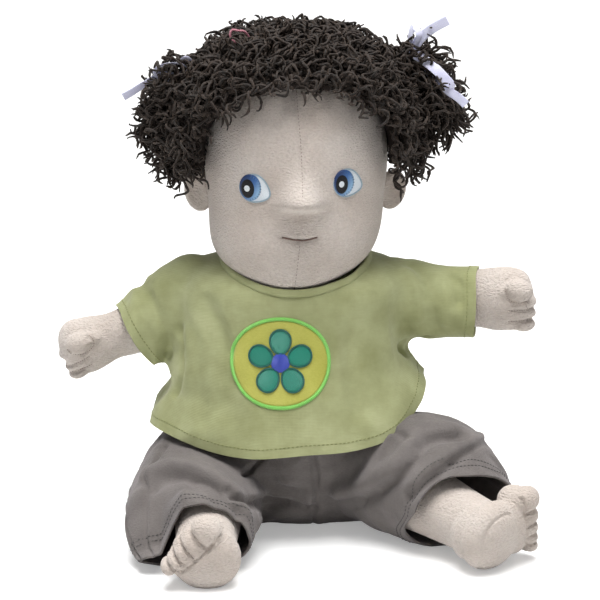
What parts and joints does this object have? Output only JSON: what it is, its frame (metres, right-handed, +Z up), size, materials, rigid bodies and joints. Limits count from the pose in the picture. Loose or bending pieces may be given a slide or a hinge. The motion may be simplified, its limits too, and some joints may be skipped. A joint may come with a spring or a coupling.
{
  "type": "cloth doll",
  "caption": "Sitting stuffed doll with curly yarn hair tied in bows, embroidered face, loose shirt with a round patch and baggy velour trousers.",
  "frame": {"origin": "on the flat underside of the seat, midway between the hips", "axes": "+Z up through the head, -Y the way the doll faces, +X towards the doll's left"},
  "size_m": [0.2766, 0.2142, 0.298],
  "materials": {
    "skin_felt": "matte brushed cotton over a stuffed form",
    "pouch_cloth": "plain woven cotton",
    "velour": "short-pile velour",
    "jersey": "fine knitted jersey",
    "patch_cloth": "plain woven cloth",
    "green_satin": "dense satin stitch",
    "teal_satin": "dense satin stitch",
    "blue_satin": "dense satin stitch",
    "closure_tape": "hook and loop tape",
    "white_thread": "embroidery thread",
    "iris_thread": "embroidery thread",
    "black_thread": "embroidery thread",
    "brown_thread": "sewing thread",
    "yarn_hair": "curly chenille yarn",
    "ribbon": "satin ribbon",
    "pink_elastic": "covered elastic cord"
  },
  "bodies": {
    "torso": {"torso": "skin_felt", "granule_pouch": "pouch_cloth", "trouser_seat": "velour", "trouser_waistband": "velour", "shirt_body": "jersey", "shirt_neckband": "jersey", "patch_field": "patch_cloth", "patch_border": "green_satin", "patch_flower_petals": "teal_satin", "patch_flower_centre": "blue_satin", "closure_hook_tape": "closure_tape", "closure_loop_tape": "closure_tape"},
    "neck": {"neck": "skin_felt"},
    "head": {"head": "skin_felt", "right_ear": "skin_felt", "left_ear": "skin_felt", "right_eye_white": "white_thread", "right_iris": "iris_thread", "right_pupil": "black_thread", "right_eye_glint": "white_thread", "left_eye_white": "white_thread", "left_iris": "iris_thread", "left_pupil": "black_thread", "left_eye_glint": "white_thread", "mouth_stitch": "brown_thread", "hair_cap": "yarn_hair", "right_hair_bunch": "yarn_hair", "right_bow": "ribbon", "left_hair_bunch": "yarn_hair", "left_bow": "ribbon", "hair_elastic_loop": "pink_elastic"},
    "right_arm": {"right_arm": "skin_felt", "right_sleeve": "jersey"},
    "left_arm": {"left_arm": "skin_felt", "left_sleeve": "jersey"},
    "right_leg": {"right_leg": "skin_felt", "right_trouser_leg": "velour"},
    "left_leg": {"left_leg": "skin_felt", "left_trouser_leg": "velour"}
  },
  "joints": [
    {"name": "neck_nod", "type": "hinge", "parent": "torso", "child": "neck", "pos_m": [0.004, 0.004, 0.15], "axis": [1, 0, 0], "range_deg": [-8, 3]},
    {"name": "head_turn", "type": "hinge", "parent": "neck", "child": "head", "pos_m": [0.004, 0.004, 0.15], "axis": [0, 0, 1], "range_deg": [-28, 28]},
    {"name": "right_shoulder", "type": "hinge", "parent": "torso", "child": "right_arm", "pos_m": [-0.06, 0, 0.132], "axis": [0, 1, 0], "range_deg": [-5, 60]},
    {"name": "left_shoulder", "type": "hinge", "parent": "torso", "child": "left_arm", "pos_m": [0.06, 0, 0.132], "axis": [0, -1, 0], "range_deg": [-25, 32]},
    {"name": "right_hip", "type": "hinge", "parent": "torso", "child": "right_leg", "pos_m": [-0.046, -0.022, 0.033], "axis": [0.9998, -0.0175, 0], "range_deg": [0, 85]},
    {"name": "left_hip", "type": "hinge", "parent": "torso", "child": "left_leg", "pos_m": [0.046, -0.022, 0.033], "axis": [0.7547, 0.6561, 0], "range_deg": [0, 85]}
  ]
}
